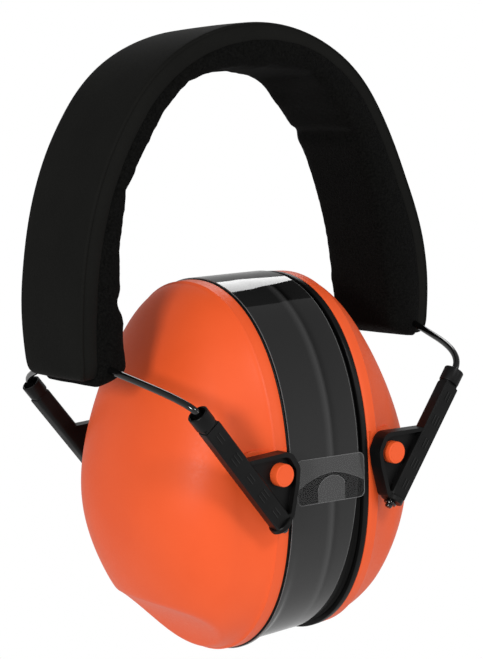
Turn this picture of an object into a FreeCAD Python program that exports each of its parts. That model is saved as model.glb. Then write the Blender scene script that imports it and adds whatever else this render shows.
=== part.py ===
import FreeCAD, Part
import math
import os

# Low-profile ear defenders, shut, with a padded spring-wire headband and two oval cups.
# +X is the wearer's left-to-right, +Y to the back, +Z up. The origin is the inner face of the
# headband at its crown, where it rests on the head. The left half is drawn; the right half and
# the rear pieces are its mirror images.

V = FreeCAD.Vector
doc = FreeCAD.newDocument("ear_defenders")

# ---------------------------------------------------------------- driving dimensions, mm or degrees
SIZES = {
    "pad_thickness": 12.0, "pad_width": 29.0, "crown_radius": 54.0, "side_radius": 99.1,
    "side_centre_drop": 69.7, "pad_end_drop": 79.2, "cover_wall": 1.6, "band_depth": 6.0,
    "band_wall": 1.4, "corner_cut": 1.4, "liner_wall": 1.5, "liner_cut": 3.0, "end_wall": 1.5,
    "core_width": 16.6, "core_floor": 7.6, "spreader_drop": 60.0, "spreader_height": 4.0,
    "wire_diameter": 1.9, "wire_depth": 6.4, "wire_spacing": 19.6, "tunnel_diameter": 2.4,
    "pivot_drop": 107.1, "pivot_reach": 20.0, "pin_diameter": 6.1, "pin_face": 43.1,
    "boss_diameter": 10.0, "boss_face": 37.6, "pin_clearance": 0.05,
    "arm_plane": 40.4, "arm_lean": 37.8, "arm_top_reach": 45.6, "arm_top_rise": 19.6,
    "arm_length": 42.5, "arm_width": 5.4, "arm_depth": 4.6, "arm_round": 0.7, "ear_depth": 4.2,
    "pocket_depth": 1.8,
    "bush_collar": 6.2, "bush_collar_length": 4.5, "bush_spigot": 3.0, "bush_length": 11.0,
    "bush_bore": 2.0, "arm_bore": 2.8, "stop_diameter": 2.6, "stop_length": 3.0, "stop_proud": 1.0,
    "rim_reach": 14.3, "rim_width": 75.0, "rim_height": 105.0, "rim_drop": 3.7,
    "band_width": 3.9, "facet_width": 4.6, "dome_width": 67.0, "dome_height": 100.8,
    "dome_depth": 22.8, "dome_sag": 8.1, "sag_shape": 0.68, "width_shape": 2.47,
    "width_round": 2.33, "height_shape": 1.32, "height_round": 1.70,
    "shell_wall": 2.5, "cavity_lift": 4.0, "scoop_radius": 27.2, "scoop_reach": 46.8,
    "scoop_drop": 64.1, "plate_thickness": 1.9, "plate_inset": 0.4,
    "cushion_gap": 0.2, "cushion_width": 74.4, "cushion_height": 104.4, "cushion_round": 4.5,
    "ear_hole_width": 36.0, "ear_hole_height": 60.0, "skin": 1.0,
    "damper_width": 40.0, "damper_height": 46.0, "damper_thickness": 7.0, "damper_reach": 27.5,
    "film_thickness": 0.3, "film_clearance": 0.4, "film_left": 12.2, "film_right": 10.5,
    "film_lean": 5.0, "tab_height": 11.6, "tab_drop": 3.9, "tab_right": 12.0,
}
sheet = doc.addObject("Spreadsheet::Sheet", "dims")
for row, (alias, size) in enumerate(SIZES.items(), start=1):
    sheet.set(f"A{row}", alias)
    sheet.set(f"B{row}", str(size))
    sheet.setAlias(f"B{row}", alias)
doc.recompute()
D = "dims."


def bind(thing, **sizes):
    """Bind properties of an object to expressions; '__' in a name stands for a dot."""
    for name, expression in sizes.items():
        thing.setExpression(name.replace("__", "."), expression)
    return thing


def add(kind, name, **sizes):
    return bind(doc.addObject(kind, name), **sizes)


def turn(thing, axis, angle):
    thing.Placement = FreeCAD.Placement(thing.Placement.Base, FreeCAD.Rotation(axis, 0.0))
    thing.Placement.Rotation = FreeCAD.Rotation(axis, 1.0)
    thing.setExpression("Placement.Rotation.Angle", angle)
    return thing


def cut(name, base, tool):
    whole = doc.addObject("Part::Cut", name)
    whole.Base, whole.Tool = base, tool
    return whole


def fuse(name, *pieces):
    whole = doc.addObject("Part::MultiFuse", name)
    whole.Shapes = list(pieces)
    whole.Refine = True
    return whole


def rounded(name, base, edges, radius):
    """Fillet the edges that a test picks out, with one radius."""
    doc.recompute()
    whole = doc.addObject("Part::Fillet", name)
    whole.Base = base
    whole.Edges = [(n, radius, radius) for n, e in enumerate(base.Shape.Edges, 1) if edges(e)]
    return whole


def mirror(name, source, normal):
    whole = doc.addObject("Part::Mirroring", name)
    whole.Source = source
    whole.Normal = normal
    whole.Base = V(0, 0, 0)
    return whole


def outline(name, plane, corners):
    """A closed sketch of straight lines; each corner is a pair of expressions."""
    sketch = doc.addObject("Sketcher::SketchObject", name)
    if plane == "YZ":
        sketch.Placement = FreeCAD.Placement(V(), FreeCAD.Rotation(V(1, 1, 1), 120))
    elif plane == "XZ":
        sketch.Placement = FreeCAD.Placement(V(), FreeCAD.Rotation(V(1, 0, 0), 90))
    spots = [V(float(sheet.evalExpression(x)), float(sheet.evalExpression(y)), 0)
             for x, y in corners]
    count = len(spots)
    for n, spot in enumerate(spots):
        sketch.addGeometry(Part.LineSegment(spot, spots[(n + 1) % count]), False)
    for n in range(count):
        sketch.addConstraint(Sketcher.Constraint("Coincident", n, 2, (n + 1) % count, 1))
    for n, (x, y) in enumerate(corners):
        for kind, expression, size in (("DistanceX", x, spots[n].x), ("DistanceY", y, spots[n].y)):
            at = sketch.addConstraint(Sketcher.Constraint(kind, n, 1, size))
            sketch.setExpression(f"Constraints[{at}]", expression)
    return sketch


import Sketcher  # noqa: E402  the sketch constraints above come from here

# ---------------------------------------------------------------- headband pad, left half
crown_z = D + "pad_thickness - " + D + "crown_radius"
side_x = (f"sqrt(({D}side_radius - {D}crown_radius)^2"
          f" - ({D}pad_thickness - {D}crown_radius + {D}side_centre_drop)^2)")
size = SIZES
c1 = V(0, size["pad_thickness"] - size["crown_radius"], 0)
reach = size["side_radius"] - size["crown_radius"]
c2 = V(math.sqrt(reach ** 2 - (c1.y + size["side_centre_drop"]) ** 2),
       -size["side_centre_drop"], 0)
join = math.atan2(c1.y - c2.y, c1.x - c2.x)
tip = math.pi + math.asin((size["pad_end_drop"] - size["side_centre_drop"]) / size["side_radius"])

spine = doc.addObject("Sketcher::SketchObject", "arch_line")
spine.Placement = FreeCAD.Placement(V(), FreeCAD.Rotation(V(1, 0, 0), 90))
spine.addGeometry(Part.ArcOfCircle(Part.Circle(c1, V(0, 0, 1), size["crown_radius"]),
                                   math.pi / 2, join), False)
spine.addGeometry(Part.ArcOfCircle(Part.Circle(c2, V(0, 0, 1), size["side_radius"]),
                                   join, tip), False)
for rule, expression in (
    (("DistanceX", 0, 3, 0.0), None),
    (("DistanceY", 0, 3, c1.y), crown_z),
    (("Radius", 0, size["crown_radius"]), D + "crown_radius"),
    (("DistanceX", 0, 1, 0.0), None),
    (("Tangent", 0, 2, 1, 1), None),
    (("Radius", 1, size["side_radius"]), D + "side_radius"),
    (("DistanceY", 1, 3, c2.y), f"-{D}side_centre_drop"),
    (("DistanceY", 1, 2, -size["pad_end_drop"]), f"-{D}pad_end_drop"),
):
    at = spine.addConstraint(Sketcher.Constraint(*rule))
    if expression:
        spine.setExpression(f"Constraints[{at}]", expression)

half = f"{D}pad_width / 2"
top = f"{D}pad_thickness"
cover_line = outline("cover_line", "YZ", [
    (f"-{half}", f"{top} - {D}band_depth"),
    (f"-{half}", f"{top} - {D}corner_cut"),
    (f"-{half} + {D}corner_cut", top),
    (f"{half} - {D}corner_cut", top),
    (half, f"{top} - {D}corner_cut"),
    (half, f"{top} - {D}band_depth"),
    (f"{half} - {D}band_wall", f"{top} - {D}band_depth"),
    (f"{half} - {D}band_wall", f"{top} - {D}cover_wall"),
    (f"-{half} + {D}band_wall", f"{top} - {D}cover_wall"),
    (f"-{half} + {D}band_wall", f"{top} - {D}band_depth"),
])
inner = f"({half} - 0.2)"
liner_line = outline("liner_line", "YZ", [
    (f"-{inner}", f"{top} - {D}band_depth"),
    (f"-{inner}", f"{D}liner_cut"),
    (f"-{inner} + {D}liner_cut", "0"),
    (f"{inner} - {D}liner_cut", "0"),
    (inner, f"{D}liner_cut"),
    (inner, f"{top} - {D}band_depth"),
    (f"{inner} - {D}liner_wall", f"{top} - {D}band_depth"),
    (f"{inner} - {D}liner_wall", f"{top} - {D}core_floor"),
    (f"-{inner} + {D}liner_wall", f"{top} - {D}core_floor"),
    (f"-{inner} + {D}liner_wall", f"{top} - {D}band_depth"),
])
core_line = outline("core_line", "YZ", [
    (f"-{D}core_width / 2", f"{top} - {D}core_floor"),
    (f"-{D}core_width / 2", f"{top} - {D}cover_wall"),
    (f"{D}core_width / 2", f"{top} - {D}cover_wall"),
    (f"{D}core_width / 2", f"{top} - {D}core_floor"),
])


def along_arch(name, section):
    sweep = doc.addObject("Part::Sweep", name)
    sweep.Sections = [section]
    sweep.Spine = (spine, ["Edge1", "Edge2"])
    sweep.Solid = True
    sweep.Frenet = False
    return sweep


cover_sweep = along_arch("cover_sweep", cover_line)
liner_sweep = along_arch("liner_sweep", liner_line)
core_sweep = along_arch("core_sweep", core_line)

# closed lower end of the pad
end_angle = f"asin(({D}pad_end_drop - {D}side_centre_drop) / {D}side_radius)"
end_plate = turn(add(
    "Part::Box", "pad_end_plate", Length=f"{top} - {D}liner_cut", Width=f"{D}pad_width",
    Height=f"{D}end_wall",
    Placement__Base__x=f"{side_x} - {D}side_radius * cos({end_angle}) - {D}end_wall * sin({end_angle}) * -1",
    Placement__Base__y=f"-{half}",
    Placement__Base__z=f"-{D}pad_end_drop - {D}end_wall * cos({end_angle})",
), V(0, -1, 0), end_angle)
end_edges = lambda e: abs(e.Vertexes[0].Point.y - e.Vertexes[-1].Point.y) < 0.01 and \
    abs(e.Vertexes[0].Point.x - e.Vertexes[-1].Point.x) < 1.0  # noqa: E731
end_cap = rounded("pad_end_cap", end_plate, end_edges, 1.4)

# ---------------------------------------------------------------- spring wire, left front leg
pivot = V(-size["pivot_reach"], 0, -size["pivot_drop"])
lean = math.radians(size["arm_lean"])
down = V(math.sin(lean), 0, -math.cos(lean))
arm_top = V(-size["arm_top_reach"], -size["arm_plane"], size["arm_top_rise"] - size["pivot_drop"])


def bent(points, radii):
    """Straight runs through points, joined by tangent arcs."""
    edges, start = [], points[0]
    for before, corner, after, radius in zip(points, points[1:], points[2:], radii):
        a, b = (before - corner).normalize(), (after - corner).normalize()
        half_angle = math.acos(max(-1.0, min(1.0, a.dot(b)))) / 2
        reach = radius / math.tan(half_angle)
        enter, leave = corner + a * reach, corner + b * reach
        middle = corner + (a + b).normalize() * (radius / math.sin(half_angle) - radius)
        edges += [Part.LineSegment(start, enter).toShape(), Part.Arc(enter, middle, leave).toShape()]
        start = leave
    return edges + [Part.LineSegment(start, points[-1]).toShape()]


def arch_arc(offset, y, radius_name, centre, start, end):
    r = size[radius_name] - offset
    at = [V(centre.x + r * math.cos(t), y, centre.y + r * math.sin(t))
          for t in (start, (start + end) / 2, end)]
    return Part.Arc(*at).toShape()


def wire_path(first, last_run):
    """Centre line of the wire from the crown, or from its exit bend, down to its lower end."""
    y = -size["wire_spacing"] / 2
    off = size["wire_depth"]
    leave = math.pi - math.asin((size["side_centre_drop"] - 62.0) / (size["side_radius"] - off))
    edges = []
    if first:
        edges += [arch_arc(off, y, "crown_radius", c1, math.pi / 2, join),
                  arch_arc(off, y, "side_radius", c2, join, leave)]
    r = size["side_radius"] - off
    start = V(c2.x + r * math.cos(leave), y, c2.y + r * math.sin(leave))
    along = V(math.sin(leave), 0, -math.cos(leave)) * -1
    points = [start, start + along * 3.0, V(-54.0, y, -77.2), arm_top + down * -3.6,
              arm_top + down * last_run]
    return edges + bent(points, [20.0, 4.2, 5.0])


def tube(path, diameter):
    wire = Part.Wire(path)
    start = path[0].valueAt(path[0].FirstParameter)
    along = path[0].tangentAt(path[0].FirstParameter)
    section = Part.Wire(Part.makeCircle(diameter / 2, start, along))
    solid = wire.makePipeShell([section], True, False)
    if solid.Volume < 0:
        solid.reverse()
    return solid


wire = doc.addObject("Part::Feature", "left_front_wire")
wire.Shape = tube(wire_path(True, size["arm_length"] + size["stop_proud"] - size["stop_length"]),
                  size["wire_diameter"])
wire.Placement = FreeCAD.Placement()
tunnel = doc.addObject("Part::Feature", "front_tunnel")
tunnel.Shape = tube(wire_path(False, 1.0), size["tunnel_diameter"])
tunnel.Placement = FreeCAD.Placement()
rear_tunnel = mirror("rear_tunnel", tunnel, V(0, 1, 0))
tunnels = doc.addObject("Part::MultiFuse", "wire_tunnels")
tunnels.Shapes = [tunnel, rear_tunnel]

# spreader clip that holds the two wires apart inside the pad
spreader_box = add(
    "Part::Box", "spreader_box", Length=f"{D}core_floor - {D}cover_wall - 0.7",
    Width=f"{D}pad_width - 2 * {D}band_wall - 1.2", Height=f"{D}spreader_height",
    Placement__Base__x=f"{side_x} - {D}side_radius + {D}cover_wall + 0.9",
    Placement__Base__y=f"-({D}pad_width - 2 * {D}band_wall - 1.2) / 2",
    Placement__Base__z=f"-{D}spreader_drop - {D}spreader_height / 2")
below_spreader = add(
    "Part::Box", "below_spreader", Length="40", Width=f"{D}pad_width",
    Height=f"{D}spreader_height + 40",
    Placement__Base__x=f"{side_x} - {D}side_radius - 5", Placement__Base__y=f"-{half}",
    Placement__Base__z=f"-{D}spreader_drop + {D}spreader_height / 2 + 0.2"
                       f" - {D}spreader_height - 40")
end_room = add(
    "Part::Box", "end_room", Length="40", Width=f"{D}pad_width", Height="40",
    Placement__Base__x=f"{side_x} - {D}side_radius - 5", Placement__Base__y=f"-{half}",
    Placement__Base__z=f"-{D}spreader_drop - {D}spreader_height / 2 - 0.2 - 40")
straight_wires = []
for name, sign in (("front_wire_room", "-"), ("rear_wire_room", "")):
    straight_wires.append(add(
        "Part::Cylinder", name, Radius=f"{D}tunnel_diameter / 2 + 0.25", Height="20",
        Placement__Base__x=f"{side_x} - {D}side_radius + {D}wire_depth + 0.35",
        Placement__Base__y=f"{sign}{D}wire_spacing / 2",
        Placement__Base__z=f"-{D}spreader_drop - 10"))
wire_rooms = doc.addObject("Part::MultiFuse", "wire_rooms")
wire_rooms.Shapes = straight_wires

cover = cut("headband_cover_left", fuse("cover_blank", cover_sweep, end_cap), tunnels)
liner = cut("headband_liner_left", liner_sweep, tunnels)
core = cut("headband_foam_left", core_sweep, below_spreader)
end_core = doc.addObject("Part::Common", "pad_end_foam_left")
end_core.Base, end_core.Tool = core_sweep, end_room
spreader = cut("wire_spreader_left", spreader_box, wire_rooms)

# ---------------------------------------------------------------- stirrup arm, left front
arm_x, arm_z = f"-{D}arm_top_reach", f"{D}arm_top_rise - {D}pivot_drop"
lean_x, lean_z = f"sin({D}arm_lean)", f"cos({D}arm_lean)"


def on_arm(name, radius, start, length):
    """A cylinder on the arm's axis, from start to start + length down from the collar's mouth."""
    return turn(add(
        "Part::Cylinder", name, Radius=radius, Height=length,
        Placement__Base__x=f"{arm_x} + ({start} + {length}) * {lean_x}",
        Placement__Base__y=f"-{D}arm_plane",
        Placement__Base__z=f"{arm_z} - ({start} + {length}) * {lean_z}",
    ), V(0, -1, 0), f"{D}arm_lean")


bar_length = f"({D}arm_length - {D}bush_collar_length)"
bar = turn(add(
    "Part::Box", "arm_bar", Length=f"{D}arm_width", Width=f"{D}arm_depth", Height=bar_length,
    Placement__Base__x=f"{arm_x} + {D}arm_length * {lean_x} - {D}arm_width / 2 * {lean_z}",
    Placement__Base__y=f"-{D}arm_plane - {D}arm_depth / 2",
    Placement__Base__z=f"{arm_z} - {D}arm_length * {lean_z} - {D}arm_width / 2 * {lean_x}",
), V(0, -1, 0), f"{D}arm_lean")
long_edges = lambda e: e.Length > 30  # noqa: E731
bar_round = rounded("arm_bar_round", bar, long_edges, size["arm_round"])
ear_line = outline("ear_line", "XZ", [
    (f"-{D}pivot_reach - 13", f"-{D}pivot_drop + 5.6"),
    (f"-{D}pivot_reach + 2.5", f"-{D}pivot_drop + 5.6"),
    (f"-{D}pivot_reach + 5.3", f"-{D}pivot_drop + 2.9"),
    (f"-{D}pivot_reach + 5.5", f"-{D}pivot_drop - 2.5"),
    (f"-{D}pivot_reach + 3", f"-{D}pivot_drop - 12.5"),
    (f"-{D}pivot_reach - 1", f"-{D}pivot_drop - 12.5"),
])
ear = add("Part::Extrusion", "arm_ear", LengthFwd=f"{D}ear_depth")
ear.Base = ear_line
ear.DirMode = "Custom"
ear.Dir = V(0, -1, 0)
ear.Solid = True
bind(ear, Placement__Base__y=f"-({D}arm_plane - {D}arm_depth / 2)")
pocket_line = outline("pocket_line", "XZ", [
    (f"-{D}pivot_reach - 11.2", f"-{D}pivot_drop + 4.5"),
    (f"-{D}pivot_reach + 2.0", f"-{D}pivot_drop + 4.5"),
    (f"-{D}pivot_reach + 4.2", f"-{D}pivot_drop + 2.4"),
    (f"-{D}pivot_reach + 4.4", f"-{D}pivot_drop - 2.4"),
    (f"-{D}pivot_reach + 2.3", f"-{D}pivot_drop - 10.8"),
    (f"-{D}pivot_reach + 0.4", f"-{D}pivot_drop - 10.8"),
])
pocket = add("Part::Extrusion", "ear_pocket", LengthFwd="10")
pocket.Base = pocket_line
pocket.DirMode = "Custom"
pocket.Dir = V(0, -1, 0)
pocket.Solid = True
bind(pocket, Placement__Base__y=f"-({D}arm_plane - {D}arm_depth / 2 + {D}ear_depth"
                                f" - {D}pocket_depth)")
ear_dished = cut("arm_ear_dished", ear, pocket)
pin_hole = turn(add(
    "Part::Cylinder", "pin_hole", Radius=f"{D}pin_diameter / 2 + {D}pin_clearance", Height="20",
    Placement__Base__x=f"-{D}pivot_reach", Placement__Base__y=f"-{D}arm_plane + 10",
    Placement__Base__z=f"-{D}pivot_drop"), V(1, 0, 0), "90")
bush_hole = on_arm("bush_hole", f"{D}bush_spigot / 2 + 0.03", f"{D}bush_collar_length - 1",
                   f"{D}bush_length - {D}bush_collar_length + 1")
leg_hole = on_arm("leg_hole", f"{D}arm_bore / 2", f"{D}bush_length - 1",
                  f"{D}arm_length - {D}bush_length + 3")
arm_holes = doc.addObject("Part::MultiFuse", "arm_holes")
arm_holes.Shapes = [pin_hole, bush_hole, leg_hole]
arm = cut("left_front_arm", fuse("arm_blank", bar_round, ear_dished), arm_holes)

collar = on_arm("bush_collar_blank", f"{D}bush_collar / 2", "0", f"{D}bush_collar_length")
spigot = on_arm("bush_spigot_blank", f"{D}bush_spigot / 2", f"{D}bush_collar_length - 0.5",
                f"{D}bush_length - {D}bush_collar_length + 0.5")
bush_hole_2 = on_arm("bush_bore_hole", f"{D}bush_bore / 2", "-1", f"{D}bush_length + 2")
bush_mouth = turn(add(
    "Part::Cone", "bush_mouth", Radius1=f"{D}bush_bore / 2", Radius2=f"{D}bush_bore / 2 + 1.4",
    Height="2.2",
    Placement__Base__x=f"{arm_x} + 2.1 * {lean_x}", Placement__Base__y=f"-{D}arm_plane",
    Placement__Base__z=f"{arm_z} - 2.1 * {lean_z}"), V(0, -1, 0), f"{D}arm_lean")
bush = cut("left_front_guide_bush", fuse("bush_blank", collar, spigot),
           fuse("bush_holes", bush_hole_2, bush_mouth))
stop = on_arm("left_front_wire_stop", f"{D}stop_diameter / 2",
              f"{D}arm_length + {D}stop_proud - {D}stop_length", f"{D}stop_length")

# ---------------------------------------------------------------- left cup
rim_z = f"-{D}pivot_drop - {D}rim_drop"


def oval(name, reach, width, height, rise=rim_z):
    """An upright ellipse across X at a distance left of the middle plane."""
    ring = add("Part::Ellipse", name, MajorRadius=f"({height}) / 2", MinorRadius=f"({width}) / 2")
    ring.Placement.Rotation = FreeCAD.Rotation(V(0, 1, 0), -90)
    return bind(ring, Placement__Base__x=f"-({reach})", Placement__Base__z=rise)


def loft(name, rings, ruled=False):
    solid = doc.addObject("Part::Loft", name)
    solid.Sections = rings
    solid.Solid = True
    solid.Ruled = ruled
    return solid


def slab(name, reach, thickness, width, height, rise=rim_z):
    """An oval plate from reach to reach + thickness, leftwards."""
    solid = add("Part::Extrusion", name, LengthFwd=thickness)
    solid.Base = oval(name + "_line", reach, width, height, rise)
    solid.DirMode = "Custom"
    solid.Dir = V(-1, 0, 0)
    solid.Solid = True
    return solid


STEPS = (0.0, 0.1, 0.25, 0.42, 0.6, 0.76, 0.88, 0.96)


def dome(name, start, depth, width, height, lift):
    rings = []
    for n, step in enumerate(STEPS):
        across = f"(1 - {step}^{D}width_shape)^(1 / {D}width_round)"
        upright = f"(1 - {step}^{D}height_shape)^(1 / {D}height_round)"
        tall = f"({height}) * {upright}"
        rings.append(oval(f"{name}_{n}", f"{start} + {step} * ({depth})",
                          f"min(({width}) * {across}; {tall} - 0.1)", tall,
                          f"{rim_z} + {lift} - {step}^{D}sag_shape * {D}dome_sag"))
    return loft(name, rings)


facet = f"{D}rim_reach + {D}band_width + {D}facet_width"
rim_band = loft("rim_band", [
    oval("rim_edge", f"{D}rim_reach", f"{D}rim_width", f"{D}rim_height"),
    oval("rim_fold", f"{D}rim_reach + {D}band_width", f"{D}rim_width - 1", f"{D}rim_height - 1"),
    oval("facet_edge", facet, f"{D}dome_width", f"{D}dome_height")], True)
outer = dome("cup_dome", facet, f"{D}dome_depth", f"{D}dome_width", f"{D}dome_height", "0")
wall = f"2 * {D}shell_wall"
hollow_rim = loft("hollow_rim", [
    oval("hollow_edge", f"{D}rim_reach - 1", f"{D}rim_width - {wall}", f"{D}rim_height - {wall} - 3"),
    oval("hollow_fold", f"{D}rim_reach + {D}band_width", f"{D}rim_width - 1 - {wall}",
         f"{D}rim_height - 4 - {wall}"),
    oval("hollow_facet", facet, f"{D}dome_width - {wall}", f"{D}dome_height - {wall} - 10",
         f"{rim_z} + {D}cavity_lift")], True)
hollow_dome = dome("hollow_dome", facet, f"{D}dome_depth - {D}shell_wall",
                   f"{D}dome_width - {wall}", f"{D}dome_height - {wall} - 10", f"{D}cavity_lift")
boss = turn(add(
    "Part::Cylinder", "pivot_boss", Radius=f"{D}boss_diameter / 2", Height=f"2 * {D}boss_face",
    Placement__Base__x=f"-{D}pivot_reach", Placement__Base__y=f"{D}boss_face",
    Placement__Base__z=f"-{D}pivot_drop"), V(1, 0, 0), "90")
pin = turn(add(
    "Part::Cylinder", "pivot_pin", Radius=f"{D}pin_diameter / 2", Height=f"2 * {D}pin_face",
    Placement__Base__x=f"-{D}pivot_reach", Placement__Base__y=f"{D}pin_face",
    Placement__Base__z=f"-{D}pivot_drop"), V(1, 0, 0), "90")
scoop = turn(add(
    "Part::Cylinder", "cup_scoop", Radius=f"{D}scoop_radius", Height=f"{D}rim_width + 20",
    Placement__Base__x=f"-{D}scoop_reach", Placement__Base__y=f"{D}rim_width / 2 + 10",
    Placement__Base__z=f"-{D}pivot_drop - {D}scoop_drop"), V(1, 0, 0), "90")
cup_room = doc.addObject("Part::MultiFuse", "cup_room")
cup_room.Shapes = [hollow_rim, hollow_dome, scoop]
cup_blank = doc.addObject("Part::MultiFuse", "cup_blank")
cup_blank.Shapes = [rim_band, outer, boss, pin]
shell = cut("left_cup_shell", cup_blank, cup_room)

plate_reach = f"{D}rim_reach - {D}plate_thickness"
plate = cut("left_seal_plate",
            slab("plate_blank", plate_reach, f"{D}plate_thickness",
                 f"{D}rim_width + {D}plate_inset / 2", f"{D}rim_height + {D}plate_inset / 2"),
            slab("plate_hole", f"{plate_reach} - 1", f"{D}plate_thickness + 2",
                 f"{D}ear_hole_width + 12", f"{D}ear_hole_height + 16"))

deep = f"{plate_reach} - {D}cushion_gap"
front_face = lambda x: (lambda e: abs(e.BoundBox.XMax - x) < 0.05 and e.BoundBox.XLength < 0.05)  # noqa: E731


def ring(name, reach, thickness, grow):
    """A cushion ring whose front edges are rounded, shrunk by grow on its walls."""
    body = cut(name + "_ring",
               slab(name + "_outer", reach, thickness, f"{D}cushion_width - 2 * {grow}",
                    f"{D}cushion_height - 2 * {grow}"),
               slab(name + "_inner", f"{reach} - 1", f"({thickness}) + 2",
                    f"{D}ear_hole_width + 2 * {grow}", f"{D}ear_hole_height + 2 * {grow}"))
    doc.recompute()
    face = body.Shape.BoundBox.XMax
    return rounded(name, body, front_face(face), size["cushion_round"] - float(grow) * 0.8)


cushion_blank = ring("cushion_blank", f"{D}cushion_gap", deep, "0")
cushion_room = ring("cushion_room", f"{D}cushion_gap + {D}skin", deep, "1.0")
cushion = cut("left_cushion_cover", cushion_blank, cushion_room)
cushion_core = ring("left_cushion_foam", f"{D}cushion_gap + {D}skin + 0.1",
                    f"{plate_reach} - {D}cushion_gap - {D}skin - 0.15", "1.15")
damper = slab("left_damping_foam", f"{D}damper_reach", f"{D}damper_thickness",
              f"{D}damper_width", f"{D}damper_height", f"{rim_z} - 3.3")

# ---------------------------------------------------------------- clear display film round the cushions
film_span = f"{D}film_left + {D}film_right"


def film(name, lift, right):
    """A thin oval sleeve from film_left to right of the middle plane."""
    span = f"{D}film_left + {right}"
    return cut(name,
               slab(name + "_out", f"-({right})", span,
                    f"{D}cushion_width + 2 * ({D}film_clearance + {D}film_thickness + {lift})",
                    f"{D}cushion_height + 2 * ({D}film_clearance + {D}film_thickness + {lift})"),
               slab(name + "_in", f"-({right}) - 1", f"{span} + 2",
                    f"{D}cushion_width + 2 * ({D}film_clearance + {lift})",
                    f"{D}cushion_height + 2 * ({D}film_clearance + {lift})"))


film_slant = turn(add(
    "Part::Box", "film_slant", Length="40", Width="120", Height="140",
    Placement__Base__x=f"{D}film_right - 6", Placement__Base__y="-60",
    Placement__Base__z=f"{rim_z} - 70"), V(0, 1, 0), f"{D}film_lean")
band = cut("display_band", film("film_sleeve", "0", f"{D}film_right"), film_slant)
tab_box = add(
    "Part::Box", "tab_box", Length=f"{D}film_left + {D}tab_right", Width="30",
    Height=f"{D}tab_height", Placement__Base__x=f"-{D}film_left", Placement__Base__y="-60",
    Placement__Base__z=f"-{D}pivot_drop - {D}tab_drop - {D}tab_height / 2")
tab = doc.addObject("Part::Common", "display_band_tab")
tab.Base = film("tab_sleeve", "0.35", f"{D}tab_right")
tab.Tool = tab_box

# ---------------------------------------------------------------- mirror images and labels
across, back = V(1, 0, 0), V(0, 1, 0)
nodes = {"headband_cover_left": cover, "headband_liner_left": liner, "headband_foam_left": core,
         "pad_end_foam_left": end_core, "wire_spreader_left": spreader, "left_cup_shell": shell, "left_seal_plate": plate,
         "left_cushion_cover": cushion, "left_cushion_foam": cushion_core,
         "left_damping_foam": damper, "display_band": band, "display_band_tab": tab}
for name, piece in (("wire", wire), ("arm", arm), ("guide_bush", bush), ("wire_stop", stop)):
    nodes[f"left_front_{name}"] = piece
    nodes[f"left_rear_{name}"] = mirror(f"left_rear_{name}", piece, back)
for name, piece in list(nodes.items()):
    if "left" in name:
        other = name.replace("left", "right")
        nodes[other] = mirror(other, piece, across)
doc.recompute()

# ---------------------------------------------------------------- check and export
for thing in doc.Objects:
    if {"Invalid", "Error"} & set(thing.State):
        raise RuntimeError(f"{thing.Name} didn't build: {thing.State}")
os.makedirs("parts", exist_ok=True)
for name, piece in nodes.items():
    piece.Label = name
    shape = piece.Shape
    if shape.isNull() or not shape.isValid() or not shape.Solids:
        raise RuntimeError(f"{name} has no valid solid")
    shape.exportStep(f"parts/{name}.step")
    box = shape.BoundBox
    print(f"{name:26s} solids {len(shape.Solids)} volume {shape.Volume:9.1f} "
          f"x {box.XMin:.2f} {box.XMax:.2f} y {box.YMin:.2f} {box.YMax:.2f} "
          f"z {box.ZMin:.2f} {box.ZMax:.2f}")
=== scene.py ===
"""Low-profile ear defenders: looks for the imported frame. Lengths here are millimetres until mesh_piece()."""
import math

import bmesh
import bpy
import numpy as np
from mathutils import Matrix, Vector


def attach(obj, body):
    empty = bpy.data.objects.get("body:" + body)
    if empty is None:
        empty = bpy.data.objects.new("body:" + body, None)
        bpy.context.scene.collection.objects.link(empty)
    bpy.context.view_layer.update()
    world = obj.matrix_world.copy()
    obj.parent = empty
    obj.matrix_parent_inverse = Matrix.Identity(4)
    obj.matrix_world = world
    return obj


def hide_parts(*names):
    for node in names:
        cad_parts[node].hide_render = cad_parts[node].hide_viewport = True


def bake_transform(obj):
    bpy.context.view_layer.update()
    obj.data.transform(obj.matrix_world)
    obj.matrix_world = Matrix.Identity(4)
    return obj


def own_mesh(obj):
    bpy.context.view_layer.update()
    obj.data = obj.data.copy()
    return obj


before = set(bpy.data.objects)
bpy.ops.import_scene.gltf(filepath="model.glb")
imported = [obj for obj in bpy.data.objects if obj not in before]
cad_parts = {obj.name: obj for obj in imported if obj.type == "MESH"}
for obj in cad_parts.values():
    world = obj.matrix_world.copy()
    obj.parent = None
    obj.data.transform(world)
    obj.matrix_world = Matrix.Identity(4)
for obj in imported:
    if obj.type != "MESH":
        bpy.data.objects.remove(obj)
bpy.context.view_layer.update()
scene = bpy.context.scene

# ------------------------------------------------------------------ sizes shared with the CAD, mm
PIVOT = (-20.0, -107.1)                  # x, z of the left pivot axis
ARM_Y, LEAN = 40.4, math.radians(37.8)
ARM_TOP = np.array([-45.6, -ARM_Y, -87.5])
ARM_DOWN = np.array([math.sin(LEAN), 0.0, -math.cos(LEAN)])
RIM_Z = PIVOT[1] - 3.7
C1, R1 = np.array([0.0, -42.0]), 54.0
C2Z, R2 = -69.7, 99.1
C2 = np.array([math.sqrt((R2 - R1) ** 2 - (C1[1] - C2Z) ** 2), C2Z])
JOIN = math.atan2(C1[1] - C2[1], C1[0] - C2[0])
TIP = math.pi + math.asin(9.5 / R2)
PAD_HALF = 14.5
SIDE_VIEW = ((0, 0, 0), (1, 0, 0), (0, 0, 1), (0, -1, 0))      # origin, across, up and towards the front


def smooth(a, b, x):
    t = np.clip((np.asarray(x, float) - a) / (b - a), 0, 1)
    return t * t * (3 - 2 * t)


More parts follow.
